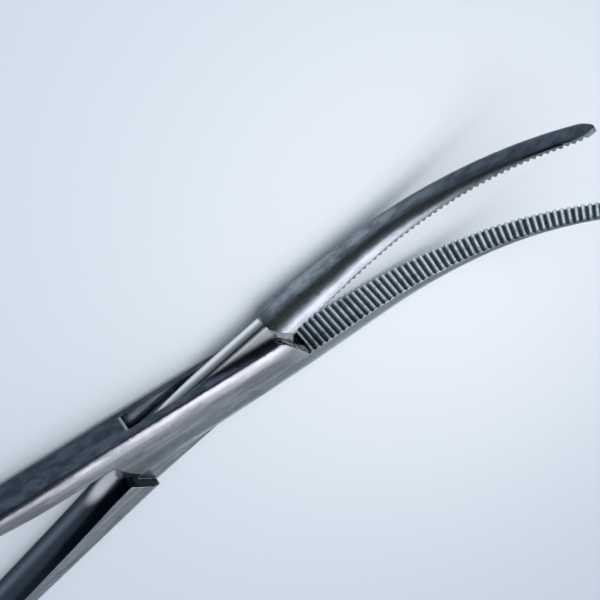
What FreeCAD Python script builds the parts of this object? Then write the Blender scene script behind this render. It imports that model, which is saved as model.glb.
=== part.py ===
import FreeCAD, Part
import math
import os

from FreeCAD import Placement, Rotation, Vector

# Curved hemostat forceps with a box lock, in millimetres.
#
# Each half is drawn in its own frame: the pivot axis is Z through the origin, the jaw runs
# along +X, the finger ring lies at -X, and Z = 0 is the middle of the thickness. The jaws
# bend toward +Z. The box half has its jaw below the mating plane Y = 0 and its shank above
# it. The through half is drawn the same way round and then mirrored, which puts its jaw
# above and its shank below. The tool lies on one flat cheek, so both halves are lifted by
# half the thickness of the box, and the through half stands open by open_angle.

os.makedirs("parts", exist_ok=True)
doc = FreeCAD.newDocument("hemostat_forceps")

# Driving dimensions
DIMENSIONS = [
    # pose in which the tool lies
    ("open_angle", 14.7),
    # jaw line, measured along the middle of the jaw from the pivot
    ("jaw_reach", 66.3),
    ("bend_start", 28.0),
    ("heel_bend_radius", 66.0),
    ("heel_bend_length", 20.0),
    ("tip_bend_radius", 54.0),
    # jaw section
    ("jaw_heel", 15.0),
    ("heel_half_width", 2.98),
    ("middle_half_width", 2.05),
    ("tip_half_width", 1.38),
    ("heel_depth", 4.4),
    ("tip_depth", 1.0),
    ("depth_fullness", 0.06),
    ("side_land", 0.5),
    ("heel_gap", 0.5),
    ("tip_gap", 0.1),
    ("tip_taper_length", 4.5),
    ("tip_taper_margin", 0.05),
    # cross serrations
    ("tooth_pitch", 1.0),
    ("tooth_depth", 0.45),
    ("tooth_land", 0.2),
    ("tooth_edge_break", 0.07),
    ("first_groove", 15.14),
    ("plain_tip", 1.3),
    # box
    ("cheek_half_thickness", 3.1),
    ("cheek_flat_half_height", 1.6),
    ("near_edge_half_width", 2.65),
    ("far_edge_half_width", 1.95),
    ("crown_shoulder_share", 0.6),
    ("crown_fall_share", 0.4),
    ("box_outer_face", 3.76),
    ("belly_at_pivot", 5.4),
    ("belly_at_rear", 6.3),
    ("belly_rear_place", 10.0),
    ("cheek_front_top", 12.0),
    ("cheek_front_foot", 14.9),
    ("cheek_front_round", 1.1),
    ("cheek_rear_foot", 13.6),
    ("cheek_rear_corner", 4.6),
    ("cheek_rear_top", 16.9),
    ("cheek_rear_bevel", 1.3),
    # slot and neck
    ("slot_half_width", 1.45),
    ("slot_rear_reach", 12.2),
    ("slot_rear_round", 0.5),
    ("slot_slant", 2.3),
    ("slot_front_reach", 15.5),
    ("neck_side_clearance", 0.15),
    ("neck_end_clearance", 0.5),
    ("neck_jaw_side", 4.15),
    ("neck_shank_side", 4.9),
    ("neck_edge_round", 1.0),
    ("neck_root_depth", 2.0),
    ("shoulder_clearance", 0.45),
    ("shoulder_round", 1.2),
    ("shoulder_round_height", 5.35),
    ("stop_round", 0.8),
    # pivot pin
    ("pin_diameter", 3.0),
    ("pin_running_clearance", 0.05),
    # shank of the box half
    ("box_shank_inner", 0.1),
    ("box_shank_rise", 0.15),
    ("box_shank_outer_bend", 36.0),
    ("box_shank_inner_bend", 30.5),
    ("box_shank_inner_rise", 0.14),
    # shank of the through half
    ("through_shank_outer", 4.8),
    ("through_shank_inner", 0.8),
    ("through_shank_first_rise", 0.055),
    ("through_shank_rise", 0.115),
    ("through_shank_inner_rise", 0.125),
    ("through_shank_inner_end_rise", 0.109),
    ("through_shank_bend", 42.0),
    # both shanks
    ("shank_bend_softness", 5.0),
    ("shank_crown_share", 0.45),
    ("shank_edge_share", 0.85),
    ("shank_end_edge_share", 0.15),
    ("shank_inner_crown", 0.6),
    ("shank_trim_depth", 0.4),
    ("shank_end", 104.9),
    ("flat_fade_start", 50.0),
    ("flat_end", 78.0),
    ("shank_end_half_width", 2.2),
    # finger rings
    ("ring_half_length", 14.4),
    ("ring_half_breadth", 12.2),
    ("ring_end_radius", 10.5),
    ("ring_wire_radius", 2.3),
    ("ring_overlap", 13.9),
    # ratchet
    ("ratchet_place", 87.0),
    ("ratchet_width", 6.5),
    ("ratchet_past_middle", 3.0),
    ("ratchet_half_gap", 0.12),
    ("ratchet_thickness", 2.1),
    ("ratchet_tooth_pitch", 1.5),
    ("ratchet_tooth_depth", 0.7),
    ("ratchet_tooth_land", 0.22),
    ("ratchet_teeth", 3),
    ("ratchet_root_depth", 1.2),
]

sheet = doc.addObject("Spreadsheet::Sheet", "Dimensions")
for row, (alias, value) in enumerate(DIMENSIONS, start=1):
    sheet.set(f"A{row}", alias)
    sheet.set(f"B{row}", str(value))
    sheet.setAlias(f"B{row}", alias)
doc.recompute()


def size(alias):
    return float(sheet.get(alias))


def bind(item, **expressions):
    for name, expression in expressions.items():
        item.setExpression(name, expression)


def shape_object(name, shape):
    item = doc.addObject("Part::Feature", name)
    item.Shape = shape
    return item


# Jaw line: straight from the pivot, then two tangent arcs toward +Z
def jaw_point(reach):
    straight = min(reach, size("bend_start"))
    heel_turn = min(max(reach - size("bend_start"), 0.0), size("heel_bend_length")) / size("heel_bend_radius")
    tip_turn = max(reach - size("bend_start") - size("heel_bend_length"), 0.0) / size("tip_bend_radius")
    turn = heel_turn + tip_turn
    x = straight + size("heel_bend_radius") * math.sin(heel_turn)
    x += size("tip_bend_radius") * (math.sin(turn) - math.sin(heel_turn))
    z = size("heel_bend_radius") * (1 - math.cos(heel_turn))
    z += size("tip_bend_radius") * (math.cos(heel_turn) - math.cos(turn))
    return x, z, turn


def jaw_share(reach):
    return (reach - size("jaw_heel")) / (size("jaw_reach") - size("jaw_heel"))


def jaw_half_width(reach):
    share = jaw_share(reach)
    straight_taper = size("heel_half_width") + (size("tip_half_width") - size("heel_half_width")) * share
    waist = size("middle_half_width") - (size("heel_half_width") + size("tip_half_width")) / 2
    return straight_taper + waist * 4 * share * (1 - share)


def jaw_depth(reach):
    share = jaw_share(reach)
    fall = 1 - share + size("depth_fullness") * math.sin(2 * math.pi * share)
    return size("tip_depth") + (size("heel_depth") - size("tip_depth")) * fall


def face_gap(reach):
    return size("heel_gap") + (size("tip_gap") - size("heel_gap")) * jaw_share(reach)


# Shank lines: heights above the mating plane at a distance behind the pivot
def soft_step(distance):
    softness = size("shank_bend_softness")
    if distance < -softness:
        return 0.0
    if distance < softness:
        return (distance + softness) ** 2 / (4 * softness)
    return distance


def box_shank_outer(back):
    return size("box_outer_face") + size("box_shank_rise") * soft_step(back - size("box_shank_outer_bend"))


def box_shank_inner(back):
    return size("box_shank_inner") + size("box_shank_inner_rise") * soft_step(back - size("box_shank_inner_bend"))


def through_shank_outer(back):
    first = size("through_shank_first_rise") * max(back - size("cheek_rear_foot"), 0.0)
    more = size("through_shank_rise") - size("through_shank_first_rise")
    return size("through_shank_outer") + first + more * soft_step(back - size("through_shank_bend"))


def through_shank_inner(back):
    first = size("through_shank_inner_rise") * max(back - size("cheek_rear_top"), 0.0)
    less = size("through_shank_inner_end_rise") - size("through_shank_inner_rise")
    return size("through_shank_inner") + first + less * soft_step(back - size("through_shank_bend"))


# One cross section of a forged bar as seven curves given by their control points: a flat outer
# face, crowned sides, and a belly that is a full round at fullness 1 and a shallow arc with
# crisp edges at fullness 0
KAPPA = 0.5523
THIRD = 1 / 3


def blend(first, last, share):
    return first + (last - first) * share


def section(x, z, turn, top, near, far, half_width, flat_top, flat_foot, belly, fullness=1.0):
    across = Vector(-math.sin(turn), 0, math.cos(turn))
    origin = Vector(x, 0, z)
    crown_pull = blend(top, flat_top, size("crown_fall_share"))

    def place(*points):
        return [origin + across * side + Vector(0, height, 0) for side, height in points]

    def crown(edge, side):
        wide = side * half_width
        shoulder = blend(edge, wide, size("crown_shoulder_share"))
        return place((edge, top), (shoulder, top), (wide, crown_pull), (wide, flat_top))

    def under(side):
        wide = side * half_width
        foot_pull = blend(flat_foot, belly, blend(2 * THIRD, KAPPA, fullness))
        return place(
            (wide, flat_foot),
            (wide * blend(2 * THIRD, 1, fullness), foot_pull),
            (wide * blend(THIRD, KAPPA, fullness), belly),
            (0, belly),
        )

    return [
        place((-far, top), (near, top)),
        crown(near, 1),
        place((half_width, flat_top), (half_width, flat_foot)),
        under(1),
        under(-1)[::-1],
        place((-half_width, flat_foot), (-half_width, flat_top)),
        crown(-far, -1)[::-1],
    ]


def jaw_section(reach):
    x, z, turn = jaw_point(reach)
    top = size("box_outer_face")
    half_width = jaw_half_width(reach)
    ease = half_width / size("cheek_half_thickness")
    near = size("near_edge_half_width") * ease
    far = size("far_edge_half_width") * ease
    face = -face_gap(reach)
    belly = face - jaw_depth(reach)
    return section(x, z, turn, top, near, far, half_width, size("cheek_flat_half_height"), face - size("side_land"), belly)


def box_section(back, top, belly):
    flat = size("cheek_flat_half_height")
    half = size("cheek_half_thickness")
    near = size("near_edge_half_width")
    far = size("far_edge_half_width")
    return section(-back, 0, 0, top, near, far, half, flat, -flat, belly)


# How much of its full section a shank still has at a distance behind the pivot
def shank_fullness(back):
    rear = size("cheek_rear_top")
    return 1 - (max(0.0, back - rear) / (size("shank_end") - rear)) ** 2


# Sizes that the shank sections of both halves have in common
def shank_outline(back, outer, inner):
    full = shank_fullness(back)
    half_width = blend(size("shank_end_half_width"), size("cheek_half_thickness"), full)
    edge_share = blend(size("shank_end_edge_share"), size("shank_edge_share"), full)
    near = edge_share * size("near_edge_half_width")
    far = edge_share * size("far_edge_half_width")
    top = outer(back)
    crown = size("shank_crown_share") * (top - inner(back))
    return near, far, half_width, top, crown


# The box half's shank: its inner side is left proud here and is ground flat later
def ground_shank_section(back):
    near, far, half_width, top, crown = shank_outline(back, box_shank_outer, box_shank_inner)
    inner = box_shank_inner(back)
    share = (back - size("flat_fade_start")) / (size("flat_end") - size("flat_fade_start"))
    share = min(max(share, 0.0), 1.0)
    fade = share * share * (3 - 2 * share)
    flat_foot = blend(inner - size("shank_trim_depth"), inner + crown, fade)
    belly = blend(inner - 2 * size("shank_trim_depth"), inner, fade)
    return section(-back, 0, 0, top, near, far, half_width, top - crown, flat_foot, belly, fade)


# The through half's shank: its inner side is a shallow crown between two crisp edges
def crowned_shank_section(back):
    near, far, half_width, top, crown = shank_outline(back, through_shank_outer, through_shank_inner)
    full = shank_fullness(back)
    inner = through_shank_inner(back)
    flat_foot = blend(inner + crown, inner, full)
    belly = inner - size("shank_inner_crown") * full
    return section(-back, 0, 0, top, near, far, half_width, top - crown, flat_foot, belly, 1 - full)


# A solid skinned through sections that all have the same curves
def bezier_edge(points):
    curve = Part.BezierCurve()
    curve.setPoles(points)
    return curve.toShape()


def skin(name, sections, stations):
    faces = []
    for strip in zip(*sections):
        guides = []
        for points in zip(*strip):
            guide = Part.BSplineCurve()
            guide.interpolate(Points=list(points), Parameters=stations)
            guides.append(guide)
        degree = len(guides) - 1
        poles = [guide.getPoles() for guide in guides]
        ends = [degree + 1, degree + 1]
        first = guides[0]
        surface = Part.BSplineSurface()
        surface.buildFromPolesMultsKnots(
            poles, ends, first.getMultiplicities(), [0, 1], first.getKnots(), False, False, degree, first.Degree
        )
        faces.append(surface.toShape())
    for end in (sections[0], sections[-1]):
        faces.append(Part.Face(Part.Wire([bezier_edge(points) for points in end])))
    shell = Part.Shell(faces)
    shell.sewShape()
    solid = Part.Solid(shell)
    if solid.Volume < 0:
        solid.reverse()
    return shape_object(name, solid)


# The bar of one half, from the ring end of the shank to the tip of the jaw
SHANK_STEPS = 10
JAW_STEPS = 8
CARRIED_SHANK_SHARES = (1.0, 0.7, 0.4, 0.1)
CARRIED_JAW_SHARES = (THIRD, 2 * THIRD)


def shank_stations(shank_section):
    rear = size("cheek_rear_top")
    reach = size("shank_end") - rear
    backs = [rear + reach * step / SHANK_STEPS for step in range(SHANK_STEPS, 0, -1)]
    return [(-back, shank_section(back)) for back in backs]


def jaw_stations():
    heel = size("jaw_heel")
    reach = size("jaw_reach") - heel
    places = [heel + reach * step / JAW_STEPS for step in range(JAW_STEPS + 1)]
    return [(place, jaw_section(place)) for place in places]


def bar(name, stations):
    places, sections = zip(*stations)
    return skin(name, sections, list(places))


def box_bar():
    middle = [
        (-back, box_section(back, box_shank_outer(back), -belly))
        for back, belly in (
            (size("cheek_rear_top"), size("belly_at_rear")),
            (size("belly_rear_place"), size("belly_at_rear")),
            (0.0, size("belly_at_pivot")),
        )
    ]
    return bar("box_half_bar", shank_stations(ground_shank_section) + middle + jaw_stations())


# Its middle is cut away later, so there it only carries the shank's and the jaw's shapes on
def through_bar():
    carried = []
    for share in CARRIED_SHANK_SHARES:
        back = share * size("cheek_rear_top")
        carried.append((-back, crowned_shank_section(back)))
    heel = size("jaw_heel")
    heel_belly = face_gap(heel) + jaw_depth(heel)
    for share in CARRIED_JAW_SHARES:
        belly = blend(size("belly_at_pivot"), heel_belly, share)
        carried.append((share * heel, box_section(-share * heel, size("box_outer_face"), -belly)))
    return bar("through_half_bar", shank_stations(crowned_shank_section) + carried + jaw_stations())


# A slab with an outline in the XY plane and half of its thickness on each side of that plane
def slab(name, outline, half_thickness):
    edges = []
    for piece in outline:
        edges.append(piece if isinstance(piece, Part.Edge) else Part.makeLine(*piece))
    item = doc.addObject("Part::Extrusion", name)
    item.Base = shape_object(f"{name}_outline", Part.Wire(edges))
    item.DirMode = "Custom"
    item.Dir = Vector(0, 0, 1)
    item.Solid = True
    item.Symmetric = True
    bind(item, LengthFwd=f"2 * ({half_thickness})")
    return item


def corners(*points):
    places = [Vector(x, y, 0) for x, y in points]
    return list(zip(places, places[1:]))


# A closed outline whose corners may be eased: each eased corner is a curve that starts and
# ends at the given distance from it
def closed(*points, eased=None):
    distances = [(eased or {}).get(point, 0.0) for point in points]
    places = [Vector(x, y, 0) for x, y in points]

    def toward(here, there, distance):
        return here + (there - here).normalize() * distance

    outline = []
    count = len(places)
    for number, here in enumerate(places):
        corner, beyond = places[(number + 1) % count], places[(number + 2) % count]
        distance = distances[(number + 1) % count]
        finish = toward(corner, here, distance)
        outline.append((toward(here, corner, distances[number]), finish))
        if distance:
            outline.append(bezier_edge([finish, corner, toward(corner, beyond, distance)]))
    return outline


# How far a cutting shape runs past the metal that it cuts, and how far it stays off a face
# that it only passes
WELL_CLEAR = 15.0
WHOLE_THICKNESS = str(WELL_CLEAR)
JUST_CLEAR = 0.02


# Inner face line of a shank: straight, a soft bend, and straight again to where the flat ends
def inner_line(inner, start, bend):
    softness = size("shank_bend_softness")
    before, after, end = bend - softness, bend + softness, size("flat_end")
    first, last = Vector(-before, inner(before), 0), Vector(-after, inner(after), 0)
    slope = (inner(before) - inner(start)) / (before - start)
    middle = Vector(-bend, inner(before) + slope * softness, 0)
    return [
        (Vector(-start, inner(start), 0), first),
        bezier_edge([first, middle, last]),
        (last, Vector(-end, inner(end), 0)),
    ]


def along(first, second, height):
    share = (height - first[1]) / (second[1] - first[1])
    return first[0] + share * (second[0] - first[0]), height


# Serrations: one V groove a pitch, square across the jaw, each crest with broken edges
def serrations(name, first_groove):
    half_top = (size("tooth_pitch") - size("tooth_land")) / 2
    edge_break = size("tooth_edge_break")
    above = size("tooth_land") / 4
    profile = [
        (-half_top - above, above),
        (-half_top + edge_break, -edge_break),
        (0, -size("tooth_depth")),
        (half_top - edge_break, -edge_break),
        (half_top + above, above),
    ]
    grooves = []
    reach = first_groove
    while reach < size("jaw_reach") - size("plain_tip"):
        x, z, turn = jaw_point(reach)
        forward = Vector(math.cos(turn), 0, math.sin(turn))
        across = Vector(-math.sin(turn), 0, math.cos(turn))
        half = jaw_half_width(reach) + size("tooth_pitch")
        start = Vector(x, -face_gap(reach), z) - across * half
        places = [start + forward * ahead + Vector(0, height, 0) for ahead, height in profile]
        outline = Part.makePolygon(places + places[:1])
        grooves.append(Part.Face(outline).extrude(across * (2 * half)))
        reach += size("tooth_pitch")
    return shape_object(name, Part.Compound(grooves))


# What is ground away to taper a jaw tip: seen from above, and seen from the side
def taper_line(half_width, side):
    length = size("tip_taper_length")
    points = [(-length, half_width), (-length / 2, half_width), (0, half_width * THIRD), (0, 0)]
    return [Vector(ahead, 0, side * height) for ahead, height in points]


def tip_waste(name):
    x, z, turn = jaw_point(size("jaw_reach"))
    start = size("jaw_reach") - size("tip_taper_length")
    margin = size("tip_taper_margin")
    behind, beyond = -size("tip_taper_length"), WELL_CLEAR
    above = taper_line(jaw_half_width(start) + margin, 1)
    below = taper_line(jaw_half_width(start) + margin, -1)[::-1]
    around = [
        below[-1],
        Vector(behind, 0, -WELL_CLEAR),
        Vector(beyond, 0, -WELL_CLEAR),
        Vector(beyond, 0, WELL_CLEAR),
        Vector(behind, 0, WELL_CLEAR),
        above[0],
    ]
    lines = [Part.makeLine(*ends) for ends in zip(around, around[1:])]
    plan = Part.Face(Part.Wire([bezier_edge(above), bezier_edge(below)] + lines))
    plan.translate(Vector(0, -WELL_CLEAR, 0))
    nose = taper_line(jaw_depth(start) + face_gap(start) - size("tip_gap") + margin, -1)
    around = [
        nose[-1],
        Vector(beyond, 0, 0),
        Vector(beyond, 0, -WELL_CLEAR),
        Vector(behind, 0, -WELL_CLEAR),
        nose[0],
    ]
    lines = [Part.makeLine(*ends) for ends in zip(around, around[1:])]
    side = Part.Face(Part.Wire([bezier_edge(nose)] + lines))
    side.rotate(Vector(0, 0, 0), Vector(1, 0, 0), 90)
    side.translate(Vector(0, -size("tip_gap"), -WELL_CLEAR))
    waste = plan.extrude(Vector(0, 2 * WELL_CLEAR, 0)).fuse(side.extrude(Vector(0, 0, 2 * WELL_CLEAR)))
    waste.Placement = Placement(Vector(x, 0, z), Rotation(Vector(0, 1, 0), -math.degrees(turn)))
    return shape_object(name, waste)


# Finger ring: an oval of round wire in four tangent arcs, joined to the end of the shank along its inner side
def finger_ring(name, outer, inner):
    end = size("shank_end")
    middle = (outer(end) + inner(end)) / 2
    slope = math.atan((outer(end) - outer(end - 1)))
    half_length, half_breadth = size("ring_half_length"), size("ring_half_breadth")
    end_radius = size("ring_end_radius")
    end_centre = half_length - end_radius
    side_radius = (end_centre ** 2 + half_breadth ** 2 - end_radius ** 2) / (2 * (half_breadth - end_radius))
    side_centre = side_radius - half_breadth
    end_turn = 2 * math.degrees(math.atan2(side_centre, end_centre))
    turn = Rotation(Vector(0, 0, 1), -math.degrees(slope))
    back_of_end = turn.multVec(Vector(size("ring_overlap") - half_length, half_breadth, 0))
    place = Placement(Vector(-end, middle, 0) + back_of_end, turn)
    arcs = []
    for quarter, centre, radius, sweep in (
        (0, end_centre, end_radius, end_turn),
        (1, -side_centre, side_radius, 180 - end_turn),
        (2, end_centre, end_radius, end_turn),
        (3, -side_centre, side_radius, 180 - end_turn),
    ):
        arc = doc.addObject("Part::Torus", f"{name}_arc_{quarter}")
        bind(arc, Radius2="Dimensions.ring_wire_radius")
        arc.Radius1 = radius
        arc.Angle3 = sweep
        heading = Rotation(Vector(0, 0, 1), 90 * quarter)
        begin = Rotation(Vector(0, 0, 1), 90 * quarter - sweep / 2)
        arc.Placement = place.multiply(Placement(heading.multVec(Vector(centre, 0, 0)), begin))
        arcs.append(arc)
    return arcs


# Ratchet: a flat arm on the inner side of the shank with saw teeth on the face that meets its partner
def ratchet_arm(name, inner, side):
    pitch = size("ratchet_tooth_pitch")
    depth = size("ratchet_tooth_depth")
    face = size("ratchet_half_gap")
    back = face + size("ratchet_thickness")
    free_end = -size("ratchet_past_middle")
    root = inner(size("ratchet_place")) + size("ratchet_root_depth")
    outline = [(root, back), (free_end, back)]
    height = free_end
    for tooth in range(int(size("ratchet_teeth"))):
        outline += [(height, face + depth), (height + pitch - size("ratchet_tooth_land"), face)]
        height += pitch
    outline += [(height, face), (root, face)]
    start = -size("ratchet_place") - size("ratchet_width") / 2
    places = [Vector(start, y, side * z) for y, z in outline]
    arm = Part.Face(Part.makePolygon(places + places[:1])).extrude(Vector(size("ratchet_width"), 0, 0))
    return shape_object(name, arm)


def cut(name, base, tool):
    item = doc.addObject("Part::Cut", name)
    item.Base = base
    item.Tool = tool
    return item


def fuse(name, *items):
    item = doc.addObject("Part::MultiFuse", name)
    item.Shapes = list(items)
    return item


def pivot_bore(name, diameter):
    item = doc.addObject("Part::Cylinder", name)
    bind(item, Radius=f"({diameter}) / 2", Height=f"2 * {WELL_CLEAR}")
    item.Placement.Base = Vector(0, 0, -WELL_CLEAR)
    return item


# Box half: the bar is cut back above the jaw and below the shank, slotted and bored
front_top = (size("cheek_front_top"), size("box_outer_face"))
front_foot = (size("cheek_front_foot"), -size("heel_gap"))
tip_place = (jaw_point(size("jaw_reach"))[0], -size("tip_gap"))
beyond_tip = (size("jaw_reach") + WELL_CLEAR, -size("tip_gap"))
rear_corner = (-size("cheek_rear_foot"), -size("cheek_rear_corner"))
rear_top = (-size("cheek_rear_top"), size("box_shank_inner"))


def box_half():
    passing_height = size("box_outer_face") + JUST_CLEAR
    front_round = size("cheek_front_round")
    front_corner = along(front_top, front_foot, passing_height)
    behind_front = front_corner[0] - 2 * front_round
    above_jaw = slab(
        "box_half_above_jaw",
        closed(
            (behind_front, WELL_CLEAR),
            (behind_front, passing_height),
            front_corner,
            front_foot,
            tip_place,
            beyond_tip,
            (beyond_tip[0], WELL_CLEAR),
            eased={front_corner: front_round, front_foot: front_round / 2},
        ),
        WHOLE_THICKNESS,
    )
    line = inner_line(box_shank_inner, size("cheek_rear_top"), size("box_shank_inner_bend"))
    flat_end = size("flat_end")
    belly_corner = (rear_corner[0] + size("cheek_rear_bevel"), rear_corner[1] - size("cheek_rear_bevel"))
    below_shank = slab(
        "box_half_below_shank",
        corners((belly_corner[0], -WELL_CLEAR), belly_corner, rear_corner, rear_top)
        + line
        + corners(
            (-flat_end, box_shank_inner(flat_end)), (-flat_end, -WELL_CLEAR), (belly_corner[0], -WELL_CLEAR)
        ),
        WHOLE_THICKNESS,
    )
    slot_rear = -size("slot_rear_reach")
    wall_foot = (slot_rear - size("slot_slant"), size("box_shank_inner"))
    slot_round = size("slot_rear_round")
    slot_corner = along((slot_rear, size("box_outer_face")), wall_foot, passing_height)
    behind_slot = slot_corner[0] - 2 * slot_round
    wall_lean = size("cheek_front_foot") - size("cheek_front_top")
    slot_front = (size("slot_front_reach"), -size("heel_gap"))
    slot_bottom = (slot_front[0] - 2 * wall_lean, slot_front[1] - 2 * (front_top[1] - front_foot[1]))
    slot = slab(
        "box_half_slot",
        closed(
            (behind_slot, WELL_CLEAR),
            (behind_slot, passing_height),
            slot_corner,
            wall_foot,
            (-flat_end, wall_foot[1]),
            (-flat_end, slot_bottom[1]),
            slot_bottom,
            slot_front,
            (slot_front[0], WELL_CLEAR),
            eased={slot_corner: slot_round},
        ),
        "Dimensions.slot_half_width",
    )
    bore = pivot_bore("box_half_bore", "Dimensions.pin_diameter")
    grooves = serrations("box_half_grooves", size("first_groove"))
    waste = fuse("box_half_waste", above_jaw, below_shank, slot, bore, tip_waste("box_half_tip"))
    trimmed = cut("box_half_trimmed", box_bar(), waste)
    toothed = cut("box_half_toothed", trimmed, grooves)
    ring_arcs = finger_ring("box_half_ring", box_shank_outer, box_shank_inner)
    ratchet = ratchet_arm("box_half_ratchet", box_shank_inner, -1)
    return fuse("box_half", toothed, *ring_arcs, ratchet)


# Whether an edge runs along the length of the tool at a given height
SAME_PLACE = 1e-6


def runs_along(edge, height):
    same_height = all(abs(vertex.Y - height) < SAME_PLACE for vertex in edge.Vertexes)
    return same_height and edge.BoundBox.ZLength < SAME_PLACE


# Through half: full width only ahead of and behind the box, with a neck between
def through_half():
    clearance = size("shoulder_clearance")
    shoulder_top = (front_top[0] + clearance, -front_top[1])
    shoulder_foot = (front_foot[0] + clearance, -front_foot[1])
    face_start = along(shoulder_top, shoulder_foot, -size("heel_gap"))
    shoulder_round = size("shoulder_round")
    shoulder_corner = (shoulder_top[0], -size("shoulder_round_height"))
    before_shoulder = shoulder_corner[0] + 2 * shoulder_round
    stop_corner = (rear_corner[0] - clearance, -rear_corner[1])
    stop_top = (rear_top[0] - clearance, -rear_top[1])
    passing_height = through_shank_inner(-stop_top[0]) - size("shank_inner_crown") - JUST_CLEAR
    stop_round = size("stop_round")
    stop_end = along(stop_corner, stop_top, passing_height)
    behind_stop = stop_end[0] - 2 * stop_round
    outside = along(stop_corner, stop_top, WELL_CLEAR)
    between = slab(
        "through_half_between",
        closed(
            (behind_stop, passing_height),
            (behind_stop, -WELL_CLEAR),
            (before_shoulder, -WELL_CLEAR),
            (before_shoulder, shoulder_corner[1]),
            shoulder_corner,
            shoulder_top,
            face_start,
            tip_place,
            beyond_tip,
            (beyond_tip[0], WELL_CLEAR),
            outside,
            stop_end,
            eased={shoulder_corner: shoulder_round, stop_end: stop_round},
        ),
        WHOLE_THICKNESS,
    )
    end_clearance = size("neck_end_clearance")
    neck_jaw, neck_shank = -size("neck_jaw_side"), size("neck_shank_side")
    wall_lean = size("cheek_front_foot") - size("cheek_front_top")
    neck_front = (size("slot_front_reach") - end_clearance, size("heel_gap"))
    front_wall = (neck_front[0] - 2 * wall_lean, neck_front[1] + 2 * (front_top[1] - front_foot[1]))
    rear_wall = (-size("slot_rear_reach") + end_clearance, -size("box_outer_face"))
    rear_foot = (rear_wall[0] - size("slot_slant"), -size("box_shank_inner"))
    neck_floor = -size("heel_gap") - size("tooth_depth")
    into_jaw = neck_front[0] + size("neck_root_depth")
    into_shank = stop_top[0] - size("neck_root_depth")
    root_height = through_shank_inner(-into_shank) + size("neck_root_depth") / 2
    neck_block = slab(
        "through_half_neck_block",
        closed(
            (into_jaw, neck_jaw),
            (into_jaw, neck_floor),
            (neck_front[0], neck_floor),
            neck_front,
            along(neck_front, front_wall, neck_shank),
            (into_shank, neck_shank),
            (into_shank, root_height),
            (rear_foot[0] - end_clearance, root_height),
            rear_foot,
            along(rear_foot, rear_wall, neck_jaw),
        ),
        "Dimensions.slot_half_width - Dimensions.neck_side_clearance",
    )
    doc.recompute()
    rounded = [
        (number, size("neck_edge_round"), size("neck_edge_round"))
        for number, edge in enumerate(neck_block.Shape.Edges, start=1)
        if runs_along(edge, neck_jaw)
    ]
    neck = doc.addObject("Part::Fillet", "through_half_neck")
    neck.Base = neck_block
    neck.Edges = rounded
    grooves = serrations("through_half_grooves", size("first_groove") + size("tooth_pitch") / 2)
    waste = fuse("through_half_waste", between, tip_waste("through_half_tip"))
    trimmed = cut("through_half_trimmed", through_bar(), waste)
    toothed = cut("through_half_toothed", trimmed, grooves)
    ring_arcs = finger_ring("through_half_ring", through_shank_outer, through_shank_inner)
    ratchet = ratchet_arm("through_half_ratchet", through_shank_inner, 1)
    joined = fuse("through_half_joined", toothed, neck, *ring_arcs, ratchet)
    clearance = "Dimensions.pin_diameter + 2 * Dimensions.pin_running_clearance"
    bored = cut("through_half_bored", joined, pivot_bore("through_half_bore", clearance))
    mirrored = doc.addObject("Part::Mirroring", "through_half")
    mirrored.Source = bored
    mirrored.Normal = Vector(0, 1, 0)
    return mirrored


pivot_pin = doc.addObject("Part::Cylinder", "pivot_pin")
bind(pivot_pin, Radius="Dimensions.pin_diameter / 2", Height="2 * Dimensions.cheek_half_thickness")

# The tool lies on one cheek, and the through half stands open about the pivot
parts = {"box_half": box_half(), "through_half": through_half(), "pivot_pin": pivot_pin}
for node in ("box_half", "through_half"):
    bind(parts[node], **{"Placement.Base.z": "Dimensions.cheek_half_thickness"})
bind(parts["through_half"], **{"Placement.Rotation.Angle": "Dimensions.open_angle"})
for node, item in parts.items():
    item.Label = node
doc.recompute()

for item in doc.Objects:
    if "Invalid" in item.State or "Error" in item.State:
        raise RuntimeError(f"{item.Name} did not build: {item.State}")
for node, item in parts.items():
    if item.Shape.isNull() or not item.Shape.isValid() or len(item.Shape.Solids) != 1:
        raise RuntimeError(f"{node} is not one valid solid")
for node, item in parts.items():
    item.Shape.exportStep(f"parts/{node}.step")
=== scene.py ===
import math

import bpy
from mathutils import Matrix, Vector

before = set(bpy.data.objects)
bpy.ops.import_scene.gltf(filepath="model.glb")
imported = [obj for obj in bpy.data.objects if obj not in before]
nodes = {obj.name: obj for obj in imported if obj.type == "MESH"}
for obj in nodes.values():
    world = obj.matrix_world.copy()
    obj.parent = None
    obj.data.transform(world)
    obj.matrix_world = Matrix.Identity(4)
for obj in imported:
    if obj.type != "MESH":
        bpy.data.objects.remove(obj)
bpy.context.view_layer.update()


# Box half
# One forging in hardened stainless steel: the slotted box, the lower jaw, a shank, a ratchet plate and
# a finger ring. Its outer and inner faces keep a dull satin from glass beads, drawn darker as painted
# shade, its sides are ground and brushed along their length, the jaw is drawn lighter as painted light,
# and the grooves of the jaw get painted shade and their crests a painted highlight.
MILLIMETRE = 0.001


def mm(*sizes):
    return [size * MILLIMETRE for size in sizes]


def linear(hex_colour):
    channels = [int(hex_colour[place:place + 2], 16) / 255 for place in (1, 3, 5)]
    return [c / 12.92 if c <= 0.04045 else ((c + 0.055) / 1.055) ** 2.4 for c in channels] + [1.0]


def add_node(tree, kind, settings=None, inputs=None):
    node = tree.nodes.new(kind)
    for name, value in (settings or {}).items():
        setattr(node, name, value)
    for name, value in (inputs or {}).items():
        if isinstance(value, bpy.types.NodeSocket):
            tree.links.new(value, node.inputs[name])
        else:
            node.inputs[name].default_value = value
    return node


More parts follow.
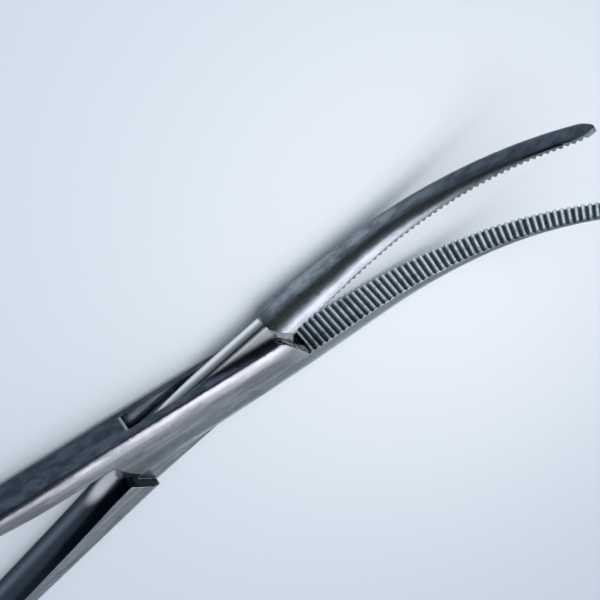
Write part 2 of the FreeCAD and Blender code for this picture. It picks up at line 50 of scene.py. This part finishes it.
# A share that is 1 where all its parts hold. A part is a socket with the two values between which it
# comes in, another share, or a number.
def zone(tree, *parts):
    share = None
    for part in parts:
        if isinstance(part, tuple):
            value, low, high = part
            part = add_node(
                tree, "ShaderNodeMapRange", {"interpolation_type": "SMOOTHSTEP"},
                {"Value": value, "From Min": low, "From Max": high},
            ).outputs["Result"]
        if share is not None:
            part = add_node(
                tree, "ShaderNodeMath", {"operation": "MULTIPLY"}, {0: share, 1: part}
            ).outputs[0]
        share = part
    return share


# The two parts of a zone that lies between two places, in millimetres
def band(value, low, high, soft):
    return (value, *mm(low - soft, low + soft)), (value, *mm(high + soft, high - soft))


# One finish laid over another where all the parts hold: a colour on a colour, or a roughness on a
# roughness
def laid_over(tree, under, over, *parts):
    kind, first, out = ("FLOAT", 2, 0) if isinstance(over, float) else ("RGBA", 6, 2)
    under, over = [linear(paint) if isinstance(paint, str) else paint for paint in (under, over)]
    share = zone(tree, *parts)
    inputs = {"Factor": share, first: under, first + 1: over}
    return add_node(tree, "ShaderNodeMix", {"data_type": kind}, inputs).outputs[out]


# The satin is unevenly blotched, in patches 1.3 mm wide and about twice as long
BLOTCH_SIZE = 1.3 * MILLIMETRE
BLOTCH_STRETCH = (0.45, 1, 1)
# Brush marks are well under 0.1 mm wide: drawn 0.6 mm wide and 12 mm long, so that they show
STREAK_STRETCH = (1 / 12, 1 / 0.6, 1 / 0.6)
# Glass beads leave dimples well under 0.1 mm wide: drawn 0.16 mm wide, so that they show
GRAIN_SIZE = 0.16 * MILLIMETRE
GRAIN_DEPTH = 0.02 * MILLIMETRE
# Where the painted light along the jaw rises, and where it has faded again
JAW_LIGHT_RISES = mm(11, 16)
JAW_LIGHT_FADES = mm(50, 24)
TEETH_BEGIN = mm(14.6, 15.0)
TEETH_REACH = mm(1.2, 1.0)
FLANK_BEGINS = mm(0.63, 0.78)
ROOT_BEGINS = mm(0.82, 1.05)
# The teeth come 0.4 mm nearer to the middle between the jaws over the 51 mm from heel to tip
TEETH_SLOPE = 0.4 / 51
PIN_RIM = mm(2.2, 2.6)
EDGE_ROUND = 0.2 * MILLIMETRE
NO_TILT = (0.0, 0.0, 0.0)
POLISH_TILT = (0.0, 0.0, 1.19)


# The steel of one half. The satin blurs what it mirrors and is softly blotched, and the ground sides
# show long faint streaks. Painted shade and painted light are laid into its colour as well. The pattern
# is drawn along the half's own length, so it is turned with it.
def forged_steel(name, turn, worked_places=None):
    material = bpy.data.materials.new(name)
    material.use_nodes = True
    tree = material.node_tree
    shader = tree.nodes["Principled BSDF"]
    coordinates = add_node(tree, "ShaderNodeTexCoord").outputs
    along, facing = [
        add_node(
            tree, "ShaderNodeMapping", {}, {"Vector": coordinates[source], "Rotation": (0, 0, -turn)}
        ).outputs["Vector"]
        for source in ("Object", "Normal")
    ]
    place = add_node(tree, "ShaderNodeSeparateXYZ", {}, {"Vector": along}).outputs
    side = add_node(tree, "ShaderNodeSeparateXYZ", {}, {"Vector": facing}).outputs
    height, upright = [
        add_node(tree, "ShaderNodeMath", {"operation": "ABSOLUTE"}, {0: value}).outputs[0]
        for value in (place["Y"], side["Y"])
    ]

    stretched, brushed, flattened = [
        add_node(tree, "ShaderNodeMapping", {}, {"Vector": along, "Scale": stretch}).outputs["Vector"]
        for stretch in (BLOTCH_STRETCH, STREAK_STRETCH, (1, 1, 0))
    ]
    blotches = add_node(
        tree, "ShaderNodeTexNoise", {},
        {"Vector": stretched, "Scale": 1 / BLOTCH_SIZE, "Detail": 7.0, "Roughness": 0.62},
    ).outputs["Fac"]
    streaks = add_node(
        tree, "ShaderNodeTexNoise", {},
        {"Vector": brushed, "Scale": 1 / MILLIMETRE, "Detail": 4.0, "Roughness": 0.6},
    ).outputs["Fac"]
    grain = add_node(
        tree, "ShaderNodeTexNoise", {}, {"Vector": along, "Scale": 1 / GRAIN_SIZE, "Detail": 3.0}
    ).outputs["Fac"]

    patchy = zone(tree, (blotches, 0.38, 0.62))
    jaw_painted_light = zone(tree, (place["X"], *JAW_LIGHT_RISES), (place["X"], *JAW_LIGHT_FADES))
    # The outer and inner faces are satin, drawn darker than the sides: partly the satin, partly painted
    # shade for the dark they mirror
    shaded_satin = laid_over(tree, "#3D444E", "#565E69", patchy)
    # Painted light: the outer and inner faces are drawn lighter along the jaw
    clear = laid_over(tree, "#6E777F", "#99A1A8", patchy)
    satin = laid_over(tree, shaded_satin, clear, jaw_painted_light)
    ground = laid_over(tree, "#8A959D", "#B0BCC5", (streaks, 0.3, 0.7))
    ground = laid_over(tree, ground, "#737C84", (blotches, 0.46, 0.66), 0.5)
    # Painted light: the ground sides are drawn lighter along the jaw
    ground = laid_over(tree, ground, "#D6E0E7", jaw_painted_light, 0.3)
    colour = laid_over(tree, ground, satin, (upright, 0.55, 0.9))
    rough = add_node(
        tree, "ShaderNodeMapRange", {},
        {"Value": blotches, "From Min": 0.3, "From Max": 0.7, "To Min": 0.25, "To Max": 0.34},
    ).outputs["Result"]

    # The crests get a painted highlight and the roots of the grooves painted shade, with a few stains
    depth = add_node(
        tree, "ShaderNodeMath", {"operation": "MULTIPLY_ADD"}, {0: place["X"], 1: TEETH_SLOPE, 2: height}
    ).outputs[0]
    teeth = laid_over(tree, "#DCE3E6", "#8D9A9F", (depth, *FLANK_BEGINS))
    teeth = laid_over(tree, teeth, "#465054", (depth, *ROOT_BEGINS))
    teeth = laid_over(tree, teeth, "#38423F", (blotches, 0.52, 0.62), 0.4)
    toothed = zone(tree, (place["X"], *TEETH_BEGIN), (upright, 0.4, 0.5), (height, *TEETH_REACH))
    colour = laid_over(tree, colour, teeth, toothed)

    tilt = NO_TILT
    if worked_places:
        colour, rough, tilt = worked_places(tree, place, side, colour, rough)

    # The edges are broken with a stone, all but the rim of the pin, which is ground level with the steel
    stoned = add_node(tree, "ShaderNodeBevel", {"samples": 8}, {"Radius": EDGE_ROUND}).outputs["Normal"]
    sharp = add_node(tree, "ShaderNodeNewGeometry").outputs["Normal"]
    from_pin = add_node(
        tree, "ShaderNodeVectorMath", {"operation": "LENGTH"}, {0: flattened}
    ).outputs["Value"]
    edges = add_node(
        tree, "ShaderNodeMix", {"data_type": "VECTOR"},
        {"Factor": zone(tree, (from_pin, *PIN_RIM)), 4: sharp, 5: stoned},
    ).outputs[1]

    # Hand polishing leaves a place uneven, and where it faces up a little it mirrors the light above
    polished = add_node(
        tree, "ShaderNodeVectorMath", {"operation": "MULTIPLY_ADD"}, {0: POLISH_TILT, 1: tilt, 2: edges}
    ).outputs["Vector"]
    smooth = add_node(
        tree, "ShaderNodeVectorMath", {"operation": "NORMALIZE"}, {0: polished}
    ).outputs["Vector"]
    grainy = add_node(
        tree, "ShaderNodeBump", {},
        {"Height": grain, "Strength": 0.1, "Distance": GRAIN_DEPTH, "Normal": smooth},
    ).outputs["Normal"]
    tree.links.new(colour, shader.inputs["Base Color"])
    tree.links.new(rough, shader.inputs["Roughness"])
    tree.links.new(grainy, shader.inputs["Normal"])
    shader.inputs["Metallic"].default_value = 1.0
    return material


CLOUD_SIZE = 2.4 * MILLIMETRE
CLOUD_STRETCH = (0.3, 1, 1)
SWIRL_SIZE = 0.9 * MILLIMETRE
BOX_ENDS = mm(15, 10)
OUTER_EDGE = mm(0.6, 2.6)
SLOT_REAR = (-12.75, -12.1)
SLOT_SIDES = (1.7, 4.5)
CHEEK_ENDS = (10.5, 15.0)


# The rear end of the slot gets a painted highlight, the front ends of the cheeks are hand polished in
# swirls with painted reflection, and the sides are cloudy, with a painted highlight towards the outer
# edge
def slot_rim_and_cheek_ends(tree, place, side, colour, rough):
    own_place = add_node(tree, "ShaderNodeTexCoord").outputs["Object"]
    stretched = add_node(
        tree, "ShaderNodeMapping", {}, {"Vector": own_place, "Scale": CLOUD_STRETCH}
    ).outputs["Vector"]
    clouds = add_node(
        tree, "ShaderNodeTexNoise", {}, {"Vector": stretched, "Scale": 1 / CLOUD_SIZE, "Detail": 3.0}
    ).outputs["Fac"]
    swirls = add_node(
        tree, "ShaderNodeTexNoise", {},
        {"Vector": own_place, "Scale": 1 / SWIRL_SIZE, "Detail": 2.0, "Distortion": 1.2},
    ).outputs["Fac"]

    on_box = zone(tree, (side["Y"], 0.8, 0.5), (place["X"], *BOX_ENDS))
    # Painted highlight: the sides of the box are drawn paler towards the outer edge
    colour = laid_over(tree, colour, "#DEDFE9", on_box, (place["Y"], *OUTER_EDGE), 0.5)
    colour = laid_over(tree, colour, "#6C7078", on_box, (clouds, 0.48, 0.62), 0.45)

    # Painted highlight on the rear end of the slot
    slot_end = *band(place["X"], *SLOT_REAR, 0.2), *band(place["Z"], *SLOT_SIDES, 0.25)
    colour = laid_over(tree, colour, "#C0C9CE", *slot_end, (side["Y"], 0.5, 0.8), 0.65)

    ends = zone(tree, (side["X"], 0.15, 0.35), *band(place["X"], *CHEEK_ENDS, 0.2))
    swirled = zone(tree, (swirls, 0.45, 0.55))
    # Painted reflection: the polished swirls are drawn from dark to near white, besides their low
    # roughness and tilt
    colour = laid_over(tree, colour, laid_over(tree, "#5A6464", "#F4F7F7", swirled), ends)
    return colour, laid_over(tree, rough, 0.15, ends), zone(tree, ends, swirled)


def finish_node(node, material):
    nodes[node].data.materials.clear()
    nodes[node].data.materials.append(material)


finish_node("box_half", forged_steel("satin_and_brushed_stainless_steel", 0.0, slot_rim_and_cheek_ends))

# Through half
# The other forging of the same steel. Its thin neck passes through the slot of the box. The top of the
# neck and the inner side of the shank, up to the stop, are buffed on a felt wheel, which leaves them
# smooth and sharply mirroring.
OPEN_ANGLE = math.radians(14.7)
CHEEK_MIDDLE = 3.1 * MILLIMETRE
NECK_REACH = (-16.0, 12.2)
NECK_HALF_WIDTH = 1.3 * MILLIMETRE
NECK_MARGIN = 1.04
NECK_TOP = mm(-0.5, 0.5)
NECK_HIGHLIGHT_STRIP = (-0.7, 0.2)
BEHIND_STOP = mm(-15.9, -16.3)
INNER_CREST = (-1.6, -0.4)
SHOULDER_MIDDLE = (-19.3, -0.5)
SHOULDER_HALF_SIZE = (4.4, 1.8)
SHOULDER_EDGE = mm(1.15, 0.45)


# The neck is pale, with a painted highlight strip along its top. The inner side of the shank is dark
# with painted shade, with a painted light streak along its length and a painted highlight oval at the
# shoulder.
# Besides their low roughness, the light and dark of both are partly painted into the colour.
def neck_and_inner_shank(tree, place, side, colour, rough):
    aside = add_node(
        tree, "ShaderNodeMath", {"operation": "SUBTRACT"}, {0: place["Z"], 1: CHEEK_MIDDLE}
    ).outputs[0]
    thin = add_node(
        tree, "ShaderNodeMath", {"operation": "COMPARE"},
        {0: aside, 1: 0.0, 2: NECK_HALF_WIDTH * NECK_MARGIN},
    ).outputs[0]
    neck = zone(tree, thin, *band(place["X"], *NECK_REACH, 0.2), (place["Y"], *NECK_TOP))
    top = zone(tree, neck, (side["Y"], 0.45, 0.8))
    colour = laid_over(tree, colour, "#CDD6D8", neck)
    colour = laid_over(tree, colour, "#7F868C", top)
    # Painted highlight: a near-white strip along the top of the neck
    colour = laid_over(tree, colour, "#F6F8F8", top, *band(aside, *NECK_HIGHLIGHT_STRIP, 0.45))
    rough = laid_over(tree, rough, 0.5, neck)
    rough = laid_over(tree, rough, 0.18, top)

    inside = zone(tree, (side["Y"], 0.1, 0.4), (place["X"], *BEHIND_STOP))
    # Painted shade: the inner side is drawn dark for the dark it mirrors, with a painted light streak
    # along its length
    colour = laid_over(tree, colour, "#3C444D", inside)
    colour = laid_over(tree, colour, "#A9B4C2", inside, *band(aside, *INNER_CREST, 0.9), 0.4)
    rough = laid_over(tree, rough, 0.18, inside)

    oval = {
        axis: add_node(
            tree, "ShaderNodeMath", {"operation": "MULTIPLY_ADD"},
            {0: value, 1: 1 / half_size, 2: -middle / half_size * MILLIMETRE},
        ).outputs[0]
        for axis, value, middle, half_size in zip(
            "XY", (place["X"], aside), SHOULDER_MIDDLE, SHOULDER_HALF_SIZE
        )
    }
    from_middle = add_node(tree, "ShaderNodeCombineXYZ", {}, oval).outputs["Vector"]
    distance = add_node(
        tree, "ShaderNodeVectorMath", {"operation": "LENGTH"}, {0: from_middle}
    ).outputs["Value"]
    # Painted highlight: a near-white oval at the shoulder
    colour = laid_over(tree, colour, "#FCFDFE", inside, (distance, *SHOULDER_EDGE))
    return colour, rough, NO_TILT


finish_node(
    "through_half", forged_steel("satin_and_buffed_stainless_steel", OPEN_ANGLE, neck_and_inner_shank)
)

# Pivot pin
# A short round pin of the same steel. It is pressed through the box and ground flush with both cheeks,
# so its ends show the same brushed grey as the sides.
finish_node("pivot_pin", forged_steel("ground_stainless_steel", 0.0))

# Floor
# A sheet of background paper that the tool lies on. It is matt and pale blue-grey, with a painted pool
# of
# light: brightest beside the lock and darkening evenly outwards.
FLOOR_REACH = 3.0
FLOOR_DROP = 0.02 * MILLIMETRE  # clear of the tool's lowest faces
LIGHT_POOL_MIDDLE = (*mm(42, -5), 0)
FADE_LENGTHS = mm(68, 92)
FADE_TURN = math.radians(25.8)
FADE_STEEPNESS = 1.6


def background_paper():
    material = bpy.data.materials.new("paper_with_painted_light_pool")
    material.use_nodes = True
    tree = material.node_tree
    shader = tree.nodes["Principled BSDF"]
    on_floor = add_node(tree, "ShaderNodeTexCoord").outputs["Object"]
    centred = add_node(
        tree, "ShaderNodeMapping", {"vector_type": "TEXTURE"},
        {
            "Vector": on_floor, "Location": LIGHT_POOL_MIDDLE, "Rotation": (0, 0, FADE_TURN),
            "Scale": (*FADE_LENGTHS, 1),
        },
    ).outputs["Vector"]
    squared = add_node(
        tree, "ShaderNodeVectorMath", {"operation": "DOT_PRODUCT"}, {0: centred, 1: centred}
    ).outputs["Value"]
    fading = add_node(
        tree, "ShaderNodeMath", {"operation": "MULTIPLY"}, {0: squared, 1: -FADE_STEEPNESS}
    ).outputs[0]
    painted_light_pool = add_node(tree, "ShaderNodeMath", {"operation": "EXPONENT"}, {0: fading}).outputs[0]
    # Painted light: a pool of light painted on the paper, brightest beside the lock
    tree.links.new(laid_over(tree, "#C1CDD9", "#E4ECF3", painted_light_pool), shader.inputs["Base Color"])
    shader.inputs["Roughness"].default_value = 1.0
    shader.inputs["Specular IOR Level"].default_value = 0.0
    return material


def floor():
    corners = [(-1, -1), (1, -1), (1, 1), (-1, 1)]
    points = [(FLOOR_REACH * x, FLOOR_REACH * y, -FLOOR_DROP) for x, y in corners]
    mesh = bpy.data.meshes.new("floor")
    mesh.from_pydata(points, [], [(0, 1, 2, 3)])
    mesh.materials.append(background_paper())
    item = bpy.data.objects.new("floor", mesh)
    bpy.context.scene.collection.objects.link(item)


floor()

# Studio
# The light of a small photo studio, as a sky: a soft box over the tool, a bright wall behind it and a
# low window on the camera's side of a dim room. Directions are given as an angle round from +Y towards
# +X and an angle up from the floor.
DIM_ROOM = (0.05, 0.055, 0.058)
world = bpy.data.worlds.new("studio")
bpy.context.scene.world = world
world.use_nodes = True
sky = world.node_tree
heading = add_node(sky, "ShaderNodeTexCoord").outputs["Generated"]


def direction(around, up):
    around, up = math.radians(around), math.radians(up)
    return math.sin(around) * math.cos(up), math.cos(around) * math.cos(up), math.sin(up)


# A patch of light added to the sky. It is full out to one angle from its middle and gone at the other.
def soft_light(below, around, up, core, rim, colour, strength):
    nearness = add_node(
        sky, "ShaderNodeVectorMath", {"operation": "DOT_PRODUCT"}, {0: heading, 1: direction(around, up)}
    ).outputs["Value"]
    share = zone(sky, (nearness, math.cos(math.radians(rim)), math.cos(math.radians(core))))
    tint = [strength * channel for channel in linear(colour)[:3]]
    return add_node(
        sky, "ShaderNodeVectorMath", {"operation": "MULTIPLY_ADD"}, {0: share, 1: tint, 2: below}
    ).outputs["Vector"]


light = soft_light(DIM_ROOM, around=180, up=5, core=25, rim=105, colour="#F2F6FA", strength=0.4)
light = soft_light(light, around=-20, up=4, core=6, rim=34, colour="#E9F0FA", strength=0.6)
light = soft_light(light, around=146, up=64, core=6, rim=24, colour="#FFF7FF", strength=2.0)
sky.links.new(light, sky.nodes["Background"].inputs["Color"])


# A wide diffuser above the camera's side. It lifts the shadow on the paper, and the steel doesn't
# mirror it.
def fill_light(around, up, distance, width, power):
    toward = Vector(direction(around, up))
    lamp = bpy.data.lights.new("fill", "AREA")
    lamp.size = width
    lamp.energy = power
    item = bpy.data.objects.new("fill", lamp)
    bpy.context.scene.collection.objects.link(item)
    item.location = toward * distance
    item.rotation_euler = toward.to_track_quat("Z", "Y").to_euler()
    item.visible_glossy = False


fill_light(around=-5, up=68, distance=1.4, width=2.0, power=25.5)

# Camera
# The photograph's view, from above and in front of the lock with a long lens. It is rolled so that the
# jaws rise to the right, and the rings lie outside the frame.
CAMERA_PLACE = Vector((-24.06, 175.93, 165.19)) * MILLIMETRE
CAMERA_AIM = Vector((17.30, 6.41, 3.10)) * MILLIMETRE
CAMERA_ROLL = math.radians(139.154)
FOCAL_SHARE = 1700 / 600  # the focal length over the width of the frame, both in pixels
SENSOR = 36.0
NEAREST_SEEN = 0.01


def camera():
    lens = bpy.data.cameras.new("camera")
    lens.sensor_width = SENSOR
    lens.lens = SENSOR * FOCAL_SHARE
    lens.clip_start = NEAREST_SEEN
    item = bpy.data.objects.new("camera", lens)
    bpy.context.scene.collection.objects.link(item)
    facing = (CAMERA_AIM - CAMERA_PLACE).to_track_quat("-Z", "Y").to_matrix()
    roll = Matrix.Rotation(CAMERA_ROLL, 3, "Z")
    item.matrix_world = Matrix.Translation(CAMERA_PLACE) @ (facing @ roll).to_4x4()
    bpy.context.scene.camera = item


camera()

bpy.context.scene.view_settings.view_transform = "Standard"
